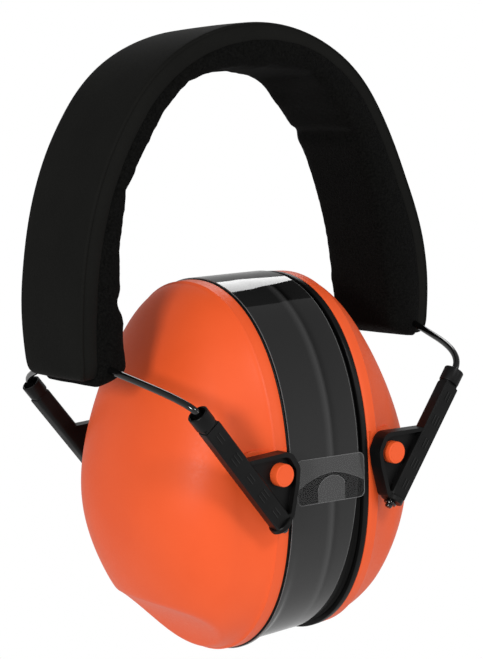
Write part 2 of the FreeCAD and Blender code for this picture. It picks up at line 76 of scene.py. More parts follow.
def ripple(seed, size, count=10):
    """A smooth seeded field over space, about -1 to 1, whose waves are about size mm long."""
    r = np.random.default_rng(seed)
    k = r.normal(size=(count, 3))
    k *= (2 * math.pi / size) * r.uniform(0.6, 1.5, (count, 1)) / np.linalg.norm(k, axis=1)[:, None]
    p = r.uniform(0, 2 * math.pi, count)
    return lambda pts: np.sin(np.asarray(pts) @ k.T + p).sum(1) / math.sqrt(count)


# ------------------------------------------------------------------ mesh helpers
def mesh_piece(name, points, faces, material, slot, flip=(1, 1), body=None, crease=None):
    """A mesh from points in mm, mirrored over X or Y by flip, with outward faces."""
    pts = np.asarray(points, float) * np.array([flip[0], flip[1], 1]) * 0.001
    mesh = bpy.data.meshes.new(name)
    mesh.from_pydata(pts.tolist(), [], [list(f) for f in faces])
    work = bmesh.new()
    work.from_mesh(mesh)
    bmesh.ops.remove_doubles(work, verts=work.verts, dist=1e-7)
    bmesh.ops.recalc_face_normals(work, faces=work.faces)
    work.to_mesh(mesh)
    work.free()
    for m in (material if isinstance(material, (list, tuple)) else [material]):
        mesh.materials.append(m)
    mesh.shade_smooth()
    if crease is not None:
        mesh.set_sharp_from_angle(angle=math.radians(crease))
    piece = bpy.data.objects.new(name, mesh)
    scene.collection.objects.link(piece)
    if body:
        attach(piece, body)
    return piece


def skin(rings, closed_across=True, closed_along=False, caps=False):
    """Points and faces of a surface through rings, an array (rings, points, 3)."""
    rings = np.asarray(rings, float)
    n, m = rings.shape[:2]
    pts = rings.reshape(-1, 3)
    faces = []
    for i in range(n if closed_along else n - 1):
        a, b = i * m, ((i + 1) % n) * m
        for j in range(m if closed_across else m - 1):
            k = (j + 1) % m
            faces.append((a + j, a + k, b + k, b + j))
    pts = list(map(tuple, pts))
    if caps:
        for start, order in ((0, 1), ((n - 1) * m, -1)):
            middle = np.mean(rings[0 if order > 0 else -1], axis=0)
            pts.append(tuple(middle))
            c = len(pts) - 1
            for j in range(m):
                faces.append((start + j, start + (j + 1) % m, c))
    return pts, faces


def join_parts(*parts):
    pts, faces = [], []
    for p, f in parts:
        at = len(pts)
        pts += list(map(tuple, p))
        faces += [tuple(i + at for i in face) for face in f]
    return pts, faces


def lathe(profile, origin, axis, steps=48, closed=True, start=0.0):
    """A turned solid: profile rows are (radius, distance along axis)."""
    axis = np.asarray(axis, float) / np.linalg.norm(axis)
    side = np.cross(axis, [0.0, 1.0, 0.0] if abs(axis[1]) < 0.9 else [1.0, 0.0, 0.0])
    side /= np.linalg.norm(side)
    up = np.cross(axis, side)
    turn = np.linspace(0, 2 * math.pi, steps, endpoint=False) + start
    wheel = np.cos(turn)[:, None] * side + np.sin(turn)[:, None] * up
    rings = [np.asarray(origin) + axis * d + wheel * r for r, d in profile]
    return skin(rings, closed_along=closed, caps=not closed)


def tube(path, radius, steps=14):
    """A round tube along a polyline, with parallel-carried rings and closed ends."""
    path = np.asarray(path, float)
    tangent = np.gradient(path, axis=0)
    tangent /= np.linalg.norm(tangent, axis=1)[:, None]
    side = np.cross(tangent[0], [0, 1, 0.3])
    turn = np.linspace(0, 2 * math.pi, steps, endpoint=False)
    rings = []
    for p, t in zip(path, tangent):
        side = side - t * (side @ t)
        side /= np.linalg.norm(side)
        up = np.cross(t, side)
        rings.append(p + radius * (np.cos(turn)[:, None] * side + np.sin(turn)[:, None] * up))
    return skin(rings, caps=True)


def prism(outline, low, high, frame_axes):
    """A slab: outline in the plane of the first two axes, from low to high along the third."""
    origin, u, v, w = (np.asarray(a, float) for a in frame_axes)
    rows = [[origin + u * a + v * b + w * h for a, b in outline] for h in (low, high)]
    n = len(outline)
    pts = rows[0] + rows[1]
    faces = [tuple(range(n))[::-1], tuple(range(n, 2 * n))]
    faces += [(i, (i + 1) % n, n + (i + 1) % n, n + i) for i in range(n)]
    return [tuple(p) for p in pts], faces


def rounded_outline(corners, radii, steps=6):
    """A polygon in the plane whose corners are arcs."""
    corners = [np.array(c, float) for c in corners]
    out, n = [], len(corners)
    for i, r in enumerate(radii):
        p, a, b = corners[i], corners[i - 1], corners[(i + 1) % n]
        if r <= 0:
            out.append(tuple(p))
            continue
        u, v = (a - p) / np.linalg.norm(a - p), (b - p) / np.linalg.norm(b - p)
        half = math.acos(np.clip(u @ v, -1, 1)) / 2
        centre = p + (u + v) / np.linalg.norm(u + v) * (r / math.sin(half))
        s, e = p + u * (r / math.tan(half)) - centre, p + v * (r / math.tan(half)) - centre
        a0, a1 = math.atan2(s[1], s[0]), math.atan2(e[1], e[0])
        da = (a1 - a0 + math.pi) % (2 * math.pi) - math.pi
        out += [tuple(centre + r * np.array([math.cos(a0 + da * k / steps), math.sin(a0 + da * k / steps)]))
                for k in range(steps + 1)]
    return out


def soften(piece, width, angle=30, segments=2):
    """A small bevel on the crisp edges of a moulded or turned piece."""
    bevel = piece.modifiers.new("edge", "BEVEL")
    bevel.width, bevel.segments, bevel.limit_method = width * 0.001, segments, "ANGLE"
    bevel.angle_limit = math.radians(angle)
    bevel.harden_normals = False
    bevel.use_clamp_overlap = True
    return piece


def boolean(piece, tool_parts, operation):
    """Join or cut with another solid, applied at once."""
    for part in tool_parts:
        pts, faces = part
        mesh = bpy.data.meshes.new("tool")
        mesh.from_pydata((np.asarray(pts) * 0.001).tolist(), [], [list(f) for f in faces])
        work = bmesh.new()
        work.from_mesh(mesh)
        bmesh.ops.recalc_face_normals(work, faces=work.faces)
        work.to_mesh(mesh)
        work.free()
        tool = bpy.data.objects.new("tool", mesh)
        scene.collection.objects.link(tool)
        mod = piece.modifiers.new("join", "BOOLEAN")
        mod.operation, mod.object, mod.solver = operation, tool, "EXACT"
        bpy.context.view_layer.update()
        done = bpy.data.meshes.new_from_object(piece.evaluated_get(bpy.context.evaluated_depsgraph_get()))
        piece.modifiers.clear()
        piece.data = done
        bpy.data.objects.remove(tool)
    return piece


# ------------------------------------------------------------------ materials
def material(name, colour, roughness, **sockets):
    m = bpy.data.materials.new(name)
    m.use_nodes = True
    b = m.node_tree.nodes["Principled BSDF"]
    b.inputs["Base Color"].default_value = (*colour, 1)
    b.inputs["Roughness"].default_value = roughness
    for key, value in sockets.items():
        b.inputs[key.replace("_", " ")].default_value = value
    return m, m.node_tree, b


def node(tree, kind, **settings):
    n = tree.nodes.new(kind)
    for key, value in settings.items():
        if key in n.inputs:
            n.inputs[key].default_value = value
        else:
            setattr(n, key, value)
    return n


def noise(tree, scale, detail=4.0, rough=0.55, kind="ShaderNodeTexNoise"):
    """A noise in object space; scale is waves per metre."""
    where = node(tree, "ShaderNodeTexCoord")
    n = tree.nodes.new(kind)
    n.inputs["Scale"].default_value = scale
    if kind == "ShaderNodeTexNoise":
        n.inputs["Detail"].default_value = detail
        n.inputs["Roughness"].default_value = rough
    tree.links.new(where.outputs["Object"], n.inputs["Vector"])
    return n


def ramp(tree, source, low, high, a, b):
    """Remap source from low..high to a..b, where a and b are numbers or colours."""
    if isinstance(a, tuple):
        n = node(tree, "ShaderNodeValToRGB")
        n.color_ramp.elements[0].position, n.color_ramp.elements[1].position = low, high
        n.color_ramp.elements[0].color, n.color_ramp.elements[1].color = (*a, 1), (*b, 1)
        tree.links.new(source, n.inputs["Fac"])
        return n.outputs["Color"]
    n = node(tree, "ShaderNodeMapRange")
    for key, value in (("From Min", low), ("From Max", high), ("To Min", a), ("To Max", b)):
        n.inputs[key].default_value = value
    tree.links.new(source, n.inputs["Value"])
    return n.outputs["Result"]


def bump(tree, shader, layers):
    """Stack bumps: rows of (height output, strength, distance in metres)."""
    last = None
    for height, strength, distance in layers:
        b = node(tree, "ShaderNodeBump", Strength=strength, Distance=distance)
        tree.links.new(height, b.inputs["Height"])
        if last:
            tree.links.new(last, b.inputs["Normal"])
        last = b.outputs["Normal"]
    tree.links.new(last, shader.inputs["Normal"])


def orange_plastic():
    m, t, b = material("orange_plastic", (0.77, 0.094, 0.0205), 0.44, Specular_IOR_Level=0.22)
    grain = noise(t, 1500, 3.0, 0.6)
    broad = noise(t, 60, 3.0)
    cells = noise(t, 1500, kind="ShaderNodeTexVoronoi")
    t.links.new(ramp(t, broad.outputs["Fac"], 0.3, 0.7, (0.755, 0.090, 0.0185), (0.785, 0.099, 0.0225)),
                b.inputs["Base Color"])
    t.links.new(ramp(t, grain.outputs["Fac"], 0.35, 0.65, 0.42, 0.52), b.inputs["Roughness"])
    bump(t, b, [(grain.outputs["Fac"], 0.20, 0.00004), (cells.outputs["Distance"], 0.15, 0.00003)])
    return m


def black_plastic(name="black_plastic", highlight_gain=1.0):
    m, t, b = material(name, (0.004, 0.004, 0.004), 0.34, Specular_IOR_Level=0.13)
    grain = noise(t, 700, 3.0, 0.6)
    streak = noise(t, 90, 4.0)
    t.links.new(ramp(t, streak.outputs["Fac"], 0.3, 0.7, 0.30, 0.46), b.inputs["Roughness"])
    t.links.new(ramp(t, streak.outputs["Fac"], 0.3, 0.7, (0.0028 * highlight_gain,) * 3, (0.005 * highlight_gain,) * 3),
                b.inputs["Base Color"])
    bump(t, b, [(grain.outputs["Fac"], 0.25, 0.00005)])
    return m


def pad_cover_fabric():
    m, t, b = material("pad_cover", (0.0052, 0.0052, 0.0046), 0.78, Specular_IOR_Level=0.07)
    fine = noise(t, 2600, 2.0, 0.7)
    weave = noise(t, 1300, kind="ShaderNodeTexVoronoi")
    broad = noise(t, 45, 4.0)
    t.links.new(ramp(t, broad.outputs["Fac"], 0.3, 0.7, (0.0045, 0.0045, 0.0040), (0.0062, 0.0062, 0.0055)),
                b.inputs["Base Color"])
    t.links.new(ramp(t, fine.outputs["Fac"], 0.3, 0.7, 0.70, 0.86), b.inputs["Roughness"])
    bump(t, b, [(weave.outputs["Distance"], 0.25, 0.00008), (fine.outputs["Fac"], 0.3, 0.00006)])
    return m


def fleece():
    m, t, b = material("fleece", (0.0030, 0.0030, 0.0028), 0.95, Specular_IOR_Level=0.02,
                       Sheen_Weight=0.015, Sheen_Roughness=0.5)
    tuft = noise(t, 1500, 5.0, 0.75)
    curl = noise(t, 2100, kind="ShaderNodeTexVoronoi")
    t.links.new(ramp(t, tuft.outputs["Fac"], 0.35, 0.68, (0.0016, 0.0016, 0.0015), (0.0056, 0.0056, 0.0052)),
                b.inputs["Base Color"])
    bump(t, b, [(curl.outputs["Distance"], 0.5, 0.0002), (tuft.outputs["Fac"], 0.6, 0.0003)])
    return m


def vinyl():
    m, t, b = material("vinyl", (0.003, 0.003, 0.003), 0.55, Specular_IOR_Level=0.06)
    leather = noise(t, 1100, kind="ShaderNodeTexVoronoi")
    soft = noise(t, 160, 3.0)
    t.links.new(ramp(t, soft.outputs["Fac"], 0.3, 0.7, 0.52, 0.60), b.inputs["Roughness"])
    t.links.new(ramp(t, soft.outputs["Fac"], 0.3, 0.7, (0.0026, 0.0026, 0.0026), (0.0036, 0.0036, 0.0034)),
                b.inputs["Base Color"])
    bump(t, b, [(leather.outputs["Distance"], 0.04, 0.00002), (soft.outputs["Fac"], 0.05, 0.0002)])
    return m


def painted_wire():
    m, t, b = material("spring_wire", (0.002, 0.002, 0.002), 0.11, Specular_IOR_Level=0.6)
    film = noise(t, 300, 3.0)
    t.links.new(ramp(t, film.outputs["Fac"], 0.3, 0.7, 0.08, 0.14), b.inputs["Roughness"])
    t.links.new(ramp(t, film.outputs["Fac"], 0.3, 0.7, (0.0015, 0.0015, 0.0015), (0.0028, 0.0028, 0.0028)),
                b.inputs["Base Color"])
    bump(t, b, [(film.outputs["Fac"], 0.15, 0.00005)])
    return m


def foam():
    m, t, b = material("foam", (0.035, 0.035, 0.037), 0.95, Specular_IOR_Level=0.15)
    pores = noise(t, 900, kind="ShaderNodeTexVoronoi")
    broad = noise(t, 160, 4.0)
    t.links.new(ramp(t, pores.outputs["Distance"], 0.1, 0.6, (0.012, 0.012, 0.013), (0.055, 0.055, 0.058)),
                b.inputs["Base Color"])
    bump(t, b, [(pores.outputs["Distance"], 0.7, 0.0004), (broad.outputs["Fac"], 0.4, 0.0006)])
    return m


# seam adds a painted highlight line, with painted shade beside it, down the middle of the film
def clear_film(name, alpha, grey, seam=False):
    m, t, b = material(name, (grey, grey, grey), 0.05, Specular_IOR_Level=0.5, Alpha=alpha)
    waves = noise(t, 26, 1.0)
    smear = noise(t, 60, 2.0)
    t.links.new(ramp(t, smear.outputs["Fac"], 0.3, 0.75, 0.035, 0.075), b.inputs["Roughness"])
    tone = ramp(t, smear.outputs["Fac"], 0.3, 0.75, (grey * 0.94,) * 3, (grey * 1.06,) * 3)
    t.links.new(tone, b.inputs["Base Color"])
    bump(t, b, [(waves.outputs["Fac"], 0.05, 0.0008)])
    if seam:                                       # painted highlight line down the middle of the film with painted shade to its right, where the two cushions meet behind it
        where = node(t, "ShaderNodeTexCoord")
        split = node(t, "ShaderNodeSeparateXYZ")
        t.links.new(where.outputs["Object"], split.inputs[0])
        across = ramp(t, split.outputs["X"], -0.012, 0.012, 0.0, 1.0)
        painted_light_ramp = node(t, "ShaderNodeValToRGB")
        stops = painted_light_ramp.color_ramp.elements
        stops[0].position, stops[1].position = 0.0, 1.0
        for at, share in ((0.44, 1.0), (0.525, 3.0), (0.575, 0.2), (0.66, 0.8)):
            stops.new(at).color = (grey * share,) * 3 + (1,)
        stops[0].color = stops[-1].color = (grey, grey, grey, 1)
        t.links.new(across, painted_light_ramp.inputs["Fac"])
        t.links.new(painted_light_ramp.outputs["Color"], b.inputs["Base Color"])
    return m


ORANGE, BLACK, COVER, FLEECE = orange_plastic(), black_plastic(), pad_cover_fabric(), fleece()
VINYL, WIRE, FOAM = vinyl(), painted_wire(), foam()
FILM = clear_film("clear_film", 0.88, 0.0125, True)
TAB = clear_film("clear_film_tab", 0.5, 0.085)
FOOT = clear_film("clear_film_foot", 0.3, 0.012)
# a lighter copy of the black plastic: painted highlight on the raised scale lines
SCALE_HIGHLIGHT = black_plastic("scale_ridges_painted_highlight", 4.8)
# lighter grey film: a painted highlight along the film's edges and the tab's outline
EDGE_HIGHLIGHT = clear_film("clear_film_painted_edge_highlight", 0.6, 0.22)

SIDES = (("left", 1), ("right", -1))
ENDS = (("front", 1), ("rear", -1))


# ------------------------------------------------------------------ headband
def arch(length, depth):
    """x, z and outward direction on the arch, length mm from the crown (negative is left)."""
    side = -1.0 if length < 0 else 1.0
    s = abs(length)
    first = R1 * (JOIN - math.pi / 2)
    if s <= first:
        angle, centre, r = math.pi / 2 + s / R1, C1, R1
    else:
        angle, centre, r = JOIN + (s - first) / R2, C2, R2
    n = np.array([math.cos(angle), math.sin(angle)])
    p = centre + n * (r - depth)
    return np.array([p[0] * -side, p[1]]), np.array([n[0] * -side, n[1]])


HALF_ARC = R1 * (JOIN - math.pi / 2) + R2 * (TIP - JOIN)
END_OVER = 1.6


def draw_in(length):
    """How far the pad hangs inside the arch's line, which it leaves towards its ends."""
    if length < 0:
        return 1.0 * float(smooth(55, 115, -length))
    return 2.3 * float(smooth(32, 78, length)) - 0.9 * float(smooth(74, 99, length))


def pad_ring(length, section):
    """Section rows are (y, depth below the outer face)."""
    rows = []
    for y, depth in section:
        p, _ = arch(length, depth + draw_in(length))
        rows.append((p[0], y, p[1]))
    return rows


def pad_lengths(step, total):
    n = int(round(total / step))
    return [(-1 + 2 * i / (2 * n)) * total for i in range(2 * n + 1)]


def rear_growth(length):
    """The rear edge of the pad stands wider over the crown and the left shoulder."""
    crown = 1.9 * (1 - float(smooth(25, 75, abs(length))))
    shoulder = 2.9 * float(smooth(-5, 38, -length) * smooth(98, 62, -length))
    return crown + shoulder + 1.3 * float(smooth(62, 98, -length))


def cover_section(length):
    """Outer cover: smooth face, crisp lip along the side seam, side band, tucked lower edge."""
    total = HALF_ARC + END_OVER
    near = max(0.0, abs(length) - (total - 5.0)) / 5.0
    pinch = 2.9 * (1 - math.sqrt(max(0.0, 1 - near * near)))      # rounded lower corners
    lift = 1.9 * (1 - math.sqrt(max(0.0, 1 - max(0.0, (abs(length) - total + 2.4) / 2.4) ** 2)))
    taper = 1.1 * smooth(total - 26, total, abs(length)) ** 1.5
    h = PAD_HALF - pinch - taper
    rear = rear_growth(length)
    band = 1 - 0.27 * float(smooth(-15, 30, length))
    crown = 0.35
    rows = []
    for k in range(13):                                           # outer face, slightly crowned
        v = -1 + 2 * k / 12
        rows.append((v * (h - 0.9), lift + crown * v * v * 0.6))
    side = [(h - 0.45, lift + 0.28), (h - 0.06, lift + 0.62), (h - 0.02, lift + 0.95),
            (h - 0.30, lift + 1.25), (h - 0.30, lift + 1.6), (h - 0.02, lift + 2.3),
            (h + 0.05, lift + 3.6), (h - 0.05, lift + 4.9), (h - 0.45, lift + 5.7),
            (h - 1.0, lift + 5.95)]
    back = [(y * 0.9, lift + 5.6) for y, _ in side[-1:]]
    right = [(y, lift + (d - lift) * band) for y, d in side + back]
    rows += right + [(-y, d) for y, d in reversed(right)]
    return [(y + rear * float(smooth(0, h, y)), d) for y, d in rows]


LEFT_FACET, RIGHT_FACET = 14.0, 13.0       # the stuffing is stitched into flat facets about this long
CREASES = ((-106, 1.3, 3.4), (-98, 0.3, 1.8), (-70, 1.0, 2.6), (-28, 0.2, 1.8),
           (26, 0.2, 1.8), (53, 1.3, 2.2), (91, 0.2, 1.8), (104, 0.25, 1.8))     # place, depth and half width


def left_lining(s):
    """Depth s mm from the crown: full at the crown, thin at the shoulder, fullest at the end."""
    return 12.9 - 3.0 * smooth(0, 28, s) + 0.9 * smooth(28, 50, s) + 4.8 * smooth(65, 120, s)


def right_lining(s):
    return (12.9 - 3.3 * smooth(0, 28, s) + 2.7 * smooth(24, 45, s) + 4.1 * smooth(58, 104, s)
            - 2.2 * smooth(114, 123, s))


def facet_depth(s):
    """The lining's law, made flat between the facets' edges."""
    law, facet = (left_lining, LEFT_FACET) if s < 0 else (right_lining, RIGHT_FACET)
    edges = facet * np.arange(12)
    return float(np.interp(abs(s), edges, law(edges)))


def liner_depth(length, y):
    """How far below the outer face the fleece lies: flat facets between a few soft creases."""
    s = length + 1.8 * math.sin(length * 0.11 + 1.0) * (y / PAD_HALF)
    depth = sum(facet_depth(s + d) for d in (-1.2, 0, 1.2)) / 3
    return depth - sum(deep * math.exp(-((s - at) / wide) ** 2) for at, deep, wide in CREASES)


def liner_section(length):
    total = HALF_ARC + END_OVER + 0.2
    total += 2.2 if length < 0 else 0.6
    near = max(0.0, abs(length) - (total - 3.5)) / 3.5
    pinch = 2.2 * (1 - math.sqrt(max(0.0, 1 - near * near)))
    rear = rear_growth(length)
    h = PAD_HALF - 0.25 - pinch - 0.9 * smooth(total - 26, total, abs(length)) ** 1.5
    rows = []
    top = 5.55 * (1 - 0.27 * float(smooth(-15, 30, length)))
    fade = math.sqrt(max(0.06, 1 - max(0.0, (abs(length) - total + 4.0) / 4.0) ** 2))
    steps = 26
    for k in range(steps + 1):                                    # around the inner side, front to back
        a = math.pi * k / steps
        c, s = math.cos(a), math.sin(a)
        y = -h * math.copysign(abs(c) ** (2 / 8.0), c)
        reach = abs(s) ** (2 / 5.5)
        depth = top + (liner_depth(length, y) - top) * reach * fade
        rows.append((y, depth))
    rows += [(h * 0.93 * v, top - 0.3) for v in (1, 0.5, 0, -0.5, -1)]
    return [(y + rear * float(smooth(0, h, y)), d) for y, d in rows]


def swept(section, lengths):
    rings = [pad_ring(s, section(s)) for s in lengths]
    return skin(rings, caps=True)


def end_fine(total, step=1.7):
    """Lengths along the arch, closer together near both ends."""
    core = [s for s in pad_lengths(step, total - 7)]
    tail = [total - 7 + 7 * math.sin(math.pi / 2 * k / 9) for k in range(1, 10)]
    return [-t for t in reversed(tail)] + core + tail


cover_total = HALF_ARC + END_OVER
cover_pts, cover_faces = swept(cover_section, end_fine(cover_total))
cover = mesh_piece("headband_cover", cover_pts, cover_faces, COVER, "pad_cover", crease=50)

liner_total = HALF_ARC + END_OVER + 0.2
liner_runs = [t + (2.2 if t < 0 else 0.6) * (t > 0 or -1) * float(smooth(70, liner_total, abs(t)))
              for t in end_fine(liner_total, 0.9)]
liner_pts, liner_faces = swept(liner_section, liner_runs)
pts = np.array(liner_pts)
fuzz = ripple(3, 2.2)(pts) * 0.04 + ripple(5, 7.0)(pts) * 0.10
ring_mid = pts.copy()
ring_mid[:, 1] = 0
out = pts - ring_mid
pts[:, 1] += np.sign(out[:, 1]) * fuzz * smooth(6, 12, np.abs(out[:, 1]))
radial = pts[:, [0, 2]] - np.array([0, -60.0])
radial /= np.linalg.norm(radial, axis=1)[:, None]
pts[:, 0] -= radial[:, 0] * fuzz
pts[:, 2] -= radial[:, 1] * fuzz
liner = mesh_piece("headband_liner", pts, liner_faces, FLEECE, "fleece")

CORE_SECTION = [(-8.2, 7.5), (-8.2, 1.8), (-4, 1.7), (4, 1.7), (8.2, 1.8), (8.2, 7.5), (4, 7.6), (-4, 7.6)]
core_pts, core_faces = swept(lambda _: CORE_SECTION, pad_lengths(3.0, HALF_ARC - 0.6))
core = mesh_piece("headband_core", core_pts, core_faces, FOAM, "foam", crease=40)
for piece, nodes in ((cover, ("headband_cover_left", "headband_cover_right")),
                     (liner, ("headband_liner_left", "headband_liner_right")),
                     (core, ("headband_foam_left", "headband_foam_right", "pad_end_foam_left",
                             "pad_end_foam_right"))):
    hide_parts(*nodes)
    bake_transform(piece)


# ------------------------------------------------------------------ spring wires
def bend(points, radii):
    """Straight runs through points with tangent arcs, as the formed wire has."""
    points = [np.asarray(p, float) for p in points]
    path = [points[0]]
    for before, corner, after, r in zip(points, points[1:], points[2:], radii):
        a, b = before - corner, after - corner
        a, b = a / np.linalg.norm(a), b / np.linalg.norm(b)
        half = math.acos(np.clip(a @ b, -1, 1)) / 2
        mid = corner + (a + b) / np.linalg.norm(a + b) * (r / math.sin(half))
        p, q = corner + a * (r / math.tan(half)) - mid, corner + b * (r / math.tan(half)) - mid
        swing = math.pi - 2 * half
        n = max(3, int(swing * r / 0.8))
        for k in range(n + 1):
            t = k / n
            path.append(mid + (math.sin((1 - t) * swing) * p + math.sin(t * swing) * q) / math.sin(swing))
    path.append(points[-1])
    return path


def wire_half(exit_x, exit_z, rise):
    """The left half from the crown: under the pad cover, out at its lower end, over into the arm."""
    y, off = -9.8, 6.4
    r = R2 - off
    leave = math.pi - math.asin((69.7 - 62.0) / r)
    crown = [np.array([C1[0] + (R1 - off) * math.cos(a), y, C1[1] + (R1 - off) * math.sin(a)])
             for a in np.linspace(math.pi / 2, JOIN, 26)]
    side = [np.array([C2[0] + r * math.cos(a), y, C2[1] + r * math.sin(a)])
            for a in np.linspace(JOIN, leave, 24)][1:]
    start = side[-1]
    along = np.array([-math.sin(leave), 0, math.cos(leave)])
    turn, corner = np.array([exit_x, y, exit_z]), ARM_TOP - ARM_DOWN * rise
    toward = (turn - corner) / np.linalg.norm(turn - corner)
    first, last = corner + toward * 15.0, ARM_TOP - ARM_DOWN * 0.2
    leg = bend([start, start + along * 3, turn, first], [20.0, 4.2])[1:]
    leg += [(1 - t) ** 2 * first + 2 * t * (1 - t) * corner + t * t * last
            for t in np.linspace(0, 1, 22)[1:]]
    return crown + side + leg + [ARM_TOP + ARM_DOWN * 3.0, ARM_TOP + ARM_DOWN * 40.5]


def wire_path(left_rise):
    """Both halves, from the right arm over the crown to the left arm."""
    mirror = np.array([-1.0, 1, 1])
    right = [p * mirror for p in reversed(wire_half(-57.6, -76.3, 5.6)[1:])]
    return right + wire_half(-54.0, -77.2, left_rise)


for end, fy in ENDS:
    pts, faces = tube(wire_path(3.4 if end == "front" else 2.8), 0.95)
    piece = mesh_piece(f"{end}_spring_wire", pts, faces, WIRE, "spring_wire", (1, fy))
    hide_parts(f"left_{end}_wire", f"right_{end}_wire")
    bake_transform(piece)

# ------------------------------------------------------------------ stirrup arms
IN_PLANE = np.array([math.cos(LEAN), 0.0, math.sin(LEAN)])     # across the bar, towards the ear
FRONT = np.array([0.0, -1.0, 0.0])


def bar_ring(a, half, front, back, chamfer=0.35, bulge=1.5):
    """Cross-section of the bar: a flat front plate on a rounded back."""
    rows = [(-half + chamfer, front), (-half, front - chamfer), (-half, front - 1.5)]
    for k in range(7):
        t = math.pi / 2 * k / 6
        rows.append((-half + 0.1 + bulge * (1 - math.cos(t)), -back + bulge * (1 - math.sin(t))))
    for k in range(7):
        t = math.pi / 2 * k / 6
        rows.append((half - 0.1 - bulge * (1 - math.sin(t)), -back + bulge * (1 - math.cos(t))))
    rows += [(half, front - 1.5), (half, front - chamfer), (half - chamfer, front)]
    return [ARM_TOP + ARM_DOWN * a + IN_PLANE * w + FRONT * f for w, f in rows]


def arm_parts():
    bar = skin([bar_ring(a, h, f, 2.25) for a, h, f in
                ((4.35, 2.35, 1.9), (5.0, 2.4, 1.95), (5.02, 2.62, 2.28), (5.3, 2.7, 2.3),
                 (12, 2.7, 2.3), (24, 2.7, 2.3), (36, 2.7, 2.3), (40.4, 2.7, 2.3), (40.9, 2.55, 2.15),
                 (40.92, 2.2, 1.6), (42.3, 2.2, 1.6))], caps=True)
    flange = lathe([(1.3, 40.9), (3.0, 40.9), (3.2, 41.1), (3.2, 42.15), (3.0, 42.35), (1.3, 42.35)],
                   ARM_TOP, ARM_DOWN, 40)
    px, pz = PIVOT
    ear = rounded_outline(
        [(px - 13, pz + 5.3), (px + 3.2, pz + 5.9), (px + 5.9, pz + 1.2), (px + 5.3, pz - 3.4),
         (px + 3.0, pz - 12.4), (px - 1.0, pz - 12.4)], [0, 3.4, 3.6, 4.0, 1.6, 0], 7)
    plate = prism(ear, 38.15, 42.3, SIDE_VIEW)
    pocket = rounded_outline(
        [(px - 10.9, pz + 4.35), (px + 2.2, pz + 4.6), (px + 4.55, pz + 0.8), (px + 4.1, pz - 3.0),
         (px + 2.2, pz - 10.6), (px + 0.9, pz - 10.6)], [0.3, 2.4, 2.6, 3.0, 0.6, 0.5], 6)
    recess = prism(pocket, 40.5, 46.0, SIDE_VIEW)
    return bar, flange, plate, recess


bar, flange, plate, recess = arm_parts()
hole = lathe([(3.12, 30), (3.12, 50)], (PIVOT[0], 0, PIVOT[1]), (0, -1, 0), 48, closed=False)
base_arm = mesh_piece("arm_master", *plate, BLACK, None)
boolean(base_arm, [recess, hole], "DIFFERENCE")
boolean(base_arm, [bar], "UNION")
work = bmesh.new()
work.from_mesh(base_arm.data)
bmesh.ops.remove_doubles(work, verts=work.verts, dist=2e-6)
bmesh.ops.recalc_face_normals(work, faces=work.faces)
work.to_mesh(base_arm.data)
work.free()
arm_pts = np.array([v.co for v in base_arm.data.vertices]) * 1000
arm_faces = [tuple(p.vertices) for p in base_arm.data.polygons]
bpy.data.objects.remove(base_arm)


def scale_marks():
    """Five groups of short raised lines on the front plate."""
    parts = []
    for n, at in enumerate((8.6, 16.4, 23.6, 30.2, 36.6)):
        for m, w in enumerate((-1.1, 0.0, 1.1)[: 2 + n % 2]):
            centre = ARM_TOP + ARM_DOWN * at + IN_PLANE * (w + (0.5 if n % 2 == 0 else 0)) + FRONT * 2.28
            long, wide, high = 1.45, 0.10, 0.20
            corners = [(-long, -wide), (long, -wide), (long, wide), (-long, wide)]
            outline = rounded_outline(corners, [0.08] * 4, 3)
            parts.append(prism(outline, -0.1, high, (centre, ARM_DOWN, IN_PLANE, FRONT)))
    return join_parts(*parts)


def collar_profile():
    outer, inner = 2.85, 2.3
    return [(inner, 0.15), (inner + 0.12, 0.02), (outer - 0.15, 0.0), (outer, 0.16), (outer, 3.9),
            (outer - 0.12, 4.2), (2.2, 4.4), (1.5, 4.4), (1.45, 10.9), (1.35, 11.0), (1.02, 11.0),
            (1.02, 3.4), (1.3, 3.1), (inner - 0.1, 3.0), (inner, 2.8)]


def collar_ribs():
    parts = []
    for k in range(6):
        a = 2 * math.pi * k / 6 + 0.3
        u = IN_PLANE * math.cos(a) + FRONT * math.sin(a)
        v = -IN_PLANE * math.sin(a) + FRONT * math.cos(a)
        parts.append(prism([(1.25, -0.2), (2.36, -0.24), (2.36, 0.24), (1.25, 0.2)], 1.1, 3.3,
                           (ARM_TOP, u, v, ARM_DOWN)))
    return join_parts(*parts)


for side, fx in SIDES:
    for end, fy in ENDS:
        body = f"{side}_{end}_arm"
        arm = mesh_piece(f"{body}_bar", arm_pts, arm_faces, BLACK, "black_plastic", (fx, fy), body, crease=30)
        soften(arm, 0.16, 40, 2)
        mesh_piece(f"{body}_end_flange", *flange, BLACK, "black_plastic", (fx, fy), body, crease=30)
        # the raised scale lines take the painted highlight copy of the black plastic
        mesh_piece(f"{body}_scale", *scale_marks(), SCALE_HIGHLIGHT, "black_plastic", (fx, fy), body, crease=30)
        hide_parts(body)
        collar = join_parts(lathe(collar_profile(), ARM_TOP, ARM_DOWN, 56), collar_ribs())
        guide = mesh_piece(f"{body}_collar", *collar, BLACK, "black_plastic", (fx, fy), body, crease=35)
        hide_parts(f"{side}_{end}_guide_bush")
        nub = [(0.0, 40.4), (1.25, 40.4), (1.25, 42.6), (1.75, 42.7), (1.85, 43.0), (1.7, 43.4),
               (1.0, 43.5), (1.0, 44.1), (0.8, 44.4), (0.0, 44.4)]
        stop = mesh_piece(f"{side}_{end}_crimp", *lathe(nub, ARM_TOP, ARM_DOWN, 32, closed=False), WIRE,
                          "spring_wire", (fx, fy), f"{side}_half", crease=40)
        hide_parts(f"{side}_{end}_wire_stop")


# ------------------------------------------------------------------ cups
def oval_ring(x, half_y, half_z, centre_z, py, pz, angles):
    c, s = np.cos(angles), np.sin(angles)
    y = half_y * np.sign(c) * np.abs(c) ** (2 / py)
    z = half_z * np.sign(s) * np.abs(s) ** (2 / pz)
    return np.stack([np.full_like(y, x), y, z + centre_z], 1)


RIM = 14.3


